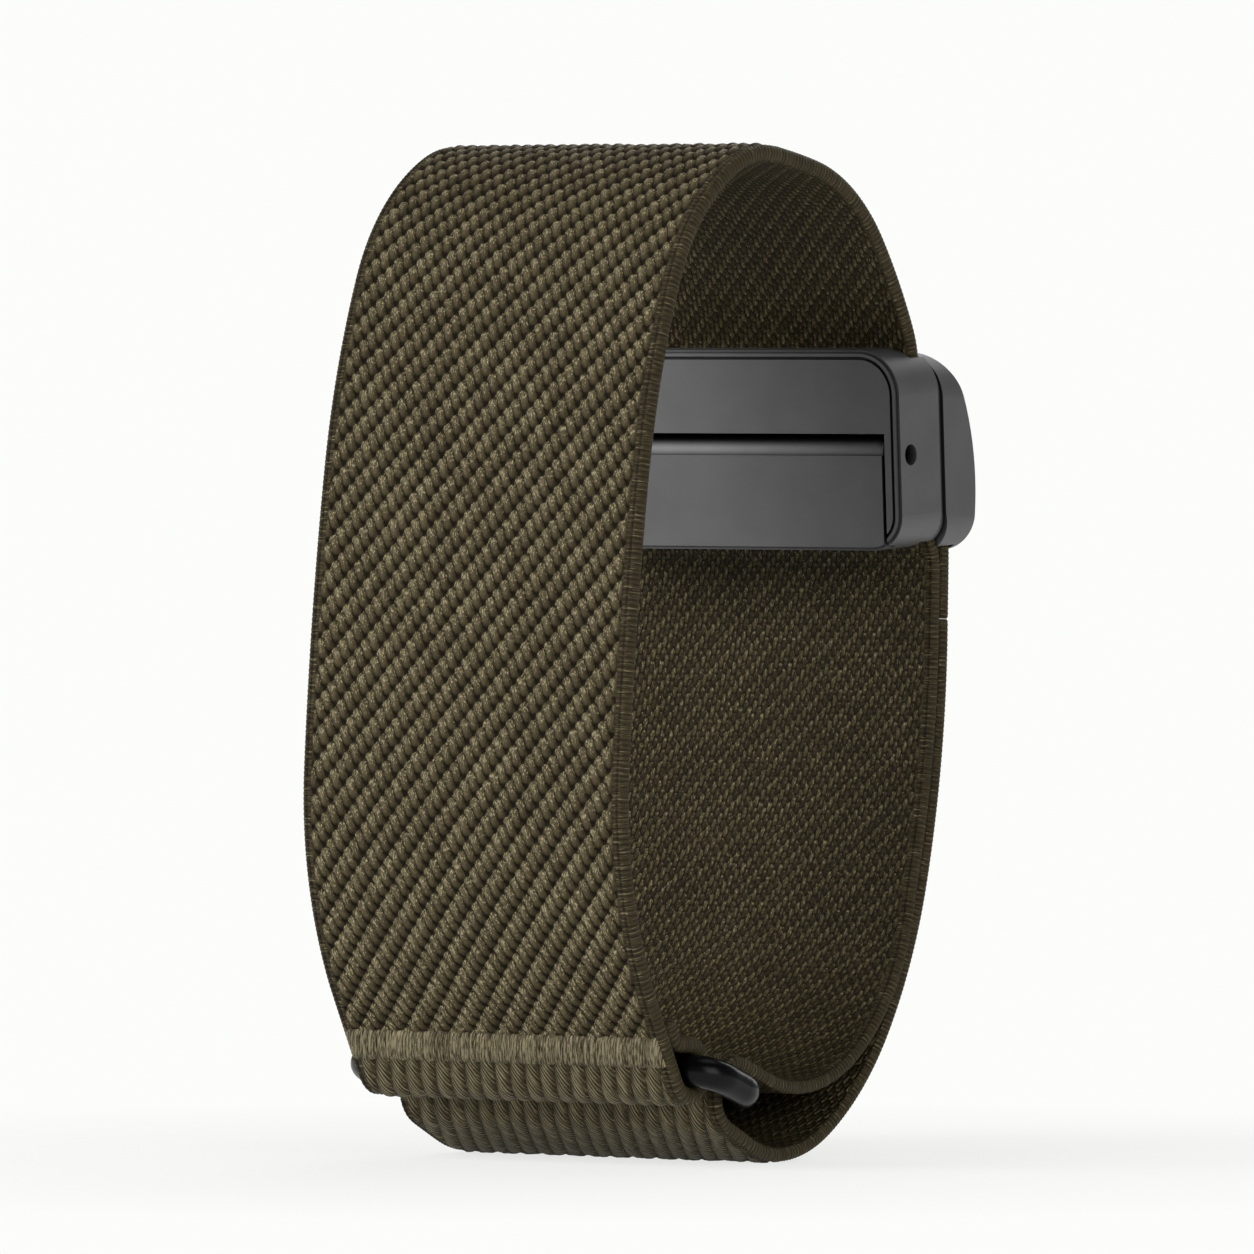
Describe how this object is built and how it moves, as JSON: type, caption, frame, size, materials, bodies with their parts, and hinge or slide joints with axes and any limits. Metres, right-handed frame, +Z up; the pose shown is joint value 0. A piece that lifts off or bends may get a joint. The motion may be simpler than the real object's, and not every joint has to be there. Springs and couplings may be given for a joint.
{
  "type": "watch band",
  "caption": "Nylon watch band closed in a loop, with a wire ring, a hook-and-loop tail and a magnetic clasp with a hinged clamp flap.",
  "frame": {"origin": "the centre of the closed loop, on the wrist axis, midway across the webbing", "axes": "+X along the wrist axis, +Y from the centre of the loop toward the clasp, +Z up along the loop's length, from the ring to the top"},
  "size_m": [0.026, 0.0349, 0.0577],
  "materials": {
    "webbing": "olive-brown woven nylon",
    "thread": "olive-brown nylon thread",
    "patch": "dark hook and loop pile",
    "black_metal": "satin black coating",
    "black_ring": "glossy black coating",
    "steel": "plain",
    "magnet": "nickel plated"
  },
  "bodies": {
    "main_band": {"main_strap": "webbing", "main_strap_bar_stitch": "thread", "clasp_base": "black_metal", "base_back_plate": "black_metal", "base_keeper_plate": "steel", "base_magnet_left": "magnet", "base_magnet_right": "magnet", "flap_pin": "steel", "tail_strap_lower": "webbing"},
    "flap": {"clamp_flap": "black_metal"},
    "ring": {"adjuster_ring": "black_ring"},
    "lower_arm": {"tail_strap_upper": "webbing", "tail_strap_stitch": "thread", "loop_patch": "patch"},
    "tail_end": {"tail_strap_end": "webbing", "hook_patch": "patch", "tail_end_stitch": "thread"},
    "cover": {"cover_shell": "black_metal", "cover_liner": "black_metal", "cover_magnet_left": "magnet", "cover_magnet_right": "magnet", "spring_bar_barrel": "steel", "spring_bar_spring": "steel"},
    "tip_left": {"spring_bar_tip_left": "steel"},
    "tip_right": {"spring_bar_tip_right": "steel"}
  },
  "joints": [
    {"name": "flap_hinge", "type": "hinge", "parent": "main_band", "child": "flap", "pos_m": [0, 0.01145, 0.01141], "axis": [-1, 0, 0], "range_deg": [0, 88]},
    {"name": "ring_pivot", "type": "hinge", "parent": "main_band", "child": "ring", "pos_m": [0, -0.0094, -0.0231], "axis": [1, 0, 0], "range_deg": [-4, 4]},
    {"name": "band_open", "type": "hinge", "parent": "main_band", "child": "lower_arm", "pos_m": [0, 0.01494, -0.01342], "axis": [-1, 0, 0], "range_deg": [0, 30]},
    {"name": "tail_peel", "type": "hinge", "parent": "lower_arm", "child": "tail_end", "pos_m": [0, 0.01494, -0.01342], "axis": [-1, 0, 0], "range_deg": [0, 60]},
    {"name": "cover_swing", "type": "hinge", "parent": "lower_arm", "child": "cover", "pos_m": [0, 0.01579, 0.00814], "axis": [-1, 0, 0], "range_deg": [0, 5]},
    {"name": "tip_left_slide", "type": "slide", "parent": "cover", "child": "tip_left", "axis": [1, 0, 0], "range_m": [0, 0.0005], "stiffness_N_per_m": 900},
    {"name": "tip_right_slide", "type": "slide", "parent": "cover", "child": "tip_right", "axis": [-1, 0, 0], "range_m": [0, 0.0005], "stiffness_N_per_m": 900}
  ]
}
